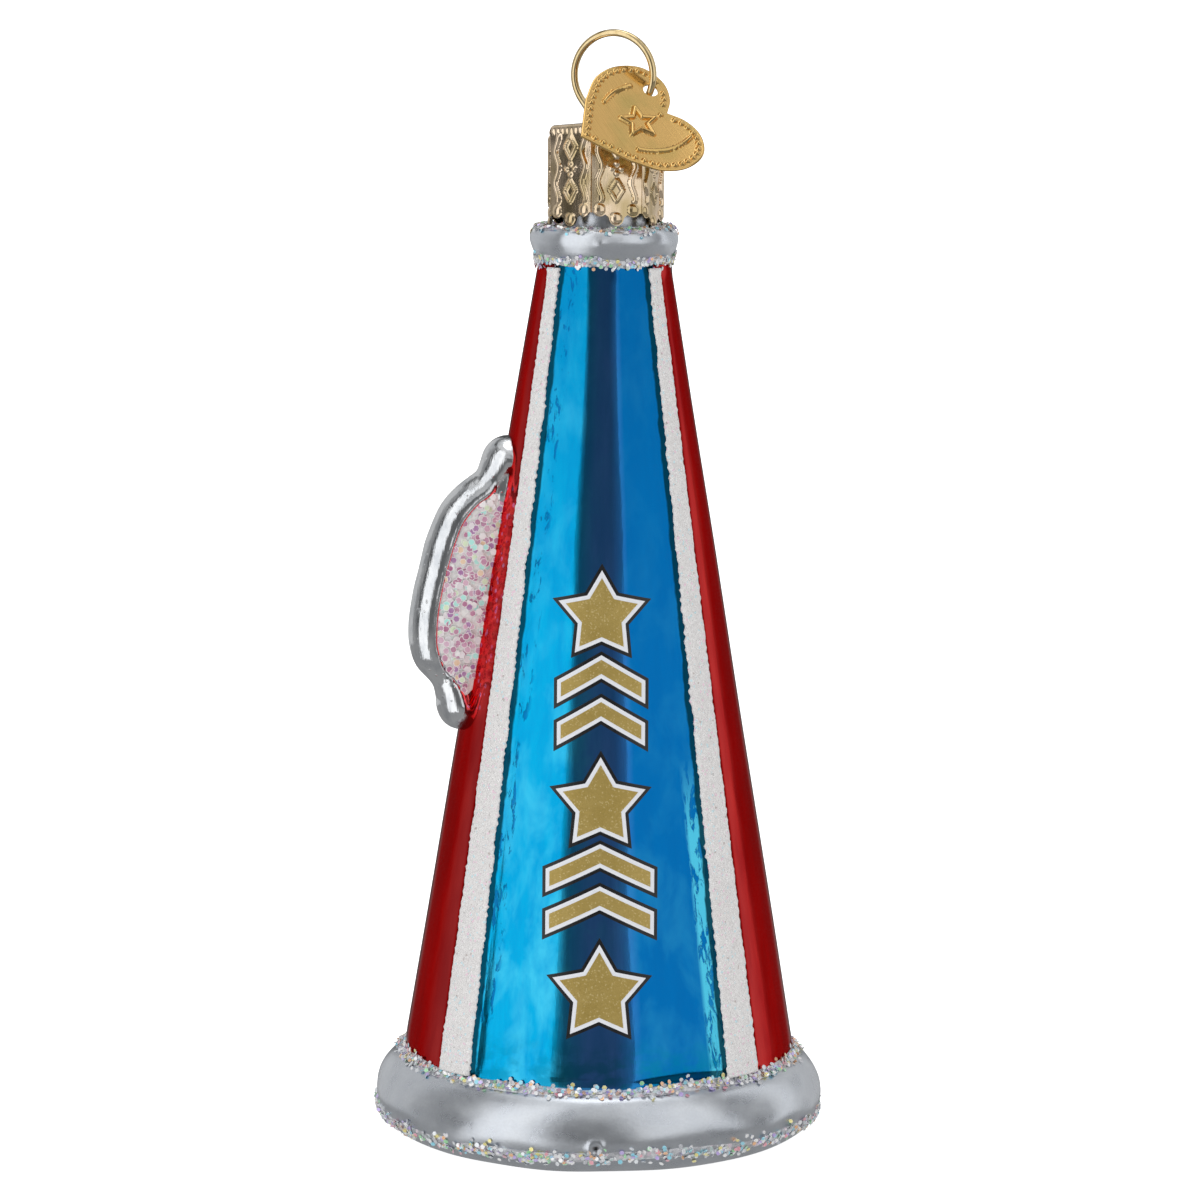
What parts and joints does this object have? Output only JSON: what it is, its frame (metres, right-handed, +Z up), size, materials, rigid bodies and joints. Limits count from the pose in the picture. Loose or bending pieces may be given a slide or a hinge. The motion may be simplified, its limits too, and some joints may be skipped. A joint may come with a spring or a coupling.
{
  "type": "megaphone ornament",
  "caption": "Mouth-blown glass hanging ornament in the shape of a cheer megaphone, with a moulded side handle, glitter trim, a stamped cap, a wire hanging ring and a heart tag.",
  "frame": {"origin": "centre of the base, on the surface it stands on", "axes": "+Z up along the body, -Y towards the printed front panel, -X towards the moulded handle"},
  "size_m": [0.0502, 0.0502, 0.1223],
  "materials": {
    "silvered_glass": "silvered inside, clear blue and red lacquer and satin silver paint outside",
    "stripe_glitter": "fine white glitter in clear glue",
    "flake_glitter": "loose iridescent flakes in clear glue",
    "gold_print": "gold enamel print with white and black outlines",
    "cap_gold": "bright stamped sheet, pale gold",
    "wire_gold": "bright drawn wire",
    "tag_gold": "satin brushed sheet with raised edge beads"
  },
  "bodies": {
    "glass_ornament": {"glass_body": "silvered_glass", "stripe_front_right": "stripe_glitter", "stripe_front_left": "stripe_glitter", "stripe_back_right": "stripe_glitter", "stripe_back_left": "stripe_glitter", "mouth_glitter_top": "flake_glitter", "mouth_glitter_bottom": "flake_glitter", "bell_glitter_top": "flake_glitter", "bell_glitter_bottom": "flake_glitter", "handle_glitter_front": "flake_glitter", "handle_glitter_back": "flake_glitter", "emblem_1": "gold_print", "emblem_2": "gold_print", "emblem_3": "gold_print", "emblem_4": "gold_print", "emblem_5": "gold_print"},
    "cap": {"cap": "cap_gold"},
    "hanger": {"hanger_wire": "wire_gold"},
    "tag": {"heart_tag": "tag_gold"}
  },
  "joints": [
    {"name": "cap_pull", "type": "slide", "parent": "glass_ornament", "child": "cap", "axis": [0, 0.1392, 0.9903], "range_m": [0, 0.02]},
    {"name": "hanger_turn", "type": "hinge", "parent": "cap", "child": "hanger", "pos_m": [0, 0.00013, 0.1064], "axis": [0, 0.1392, 0.9903], "continuous": true},
    {"name": "tag_swing", "type": "hinge", "parent": "hanger", "child": "tag", "pos_m": [0.00478, -0.001, 0.11536], "axis": [-1, 0, 0], "range_deg": [0, 80]}
  ]
}
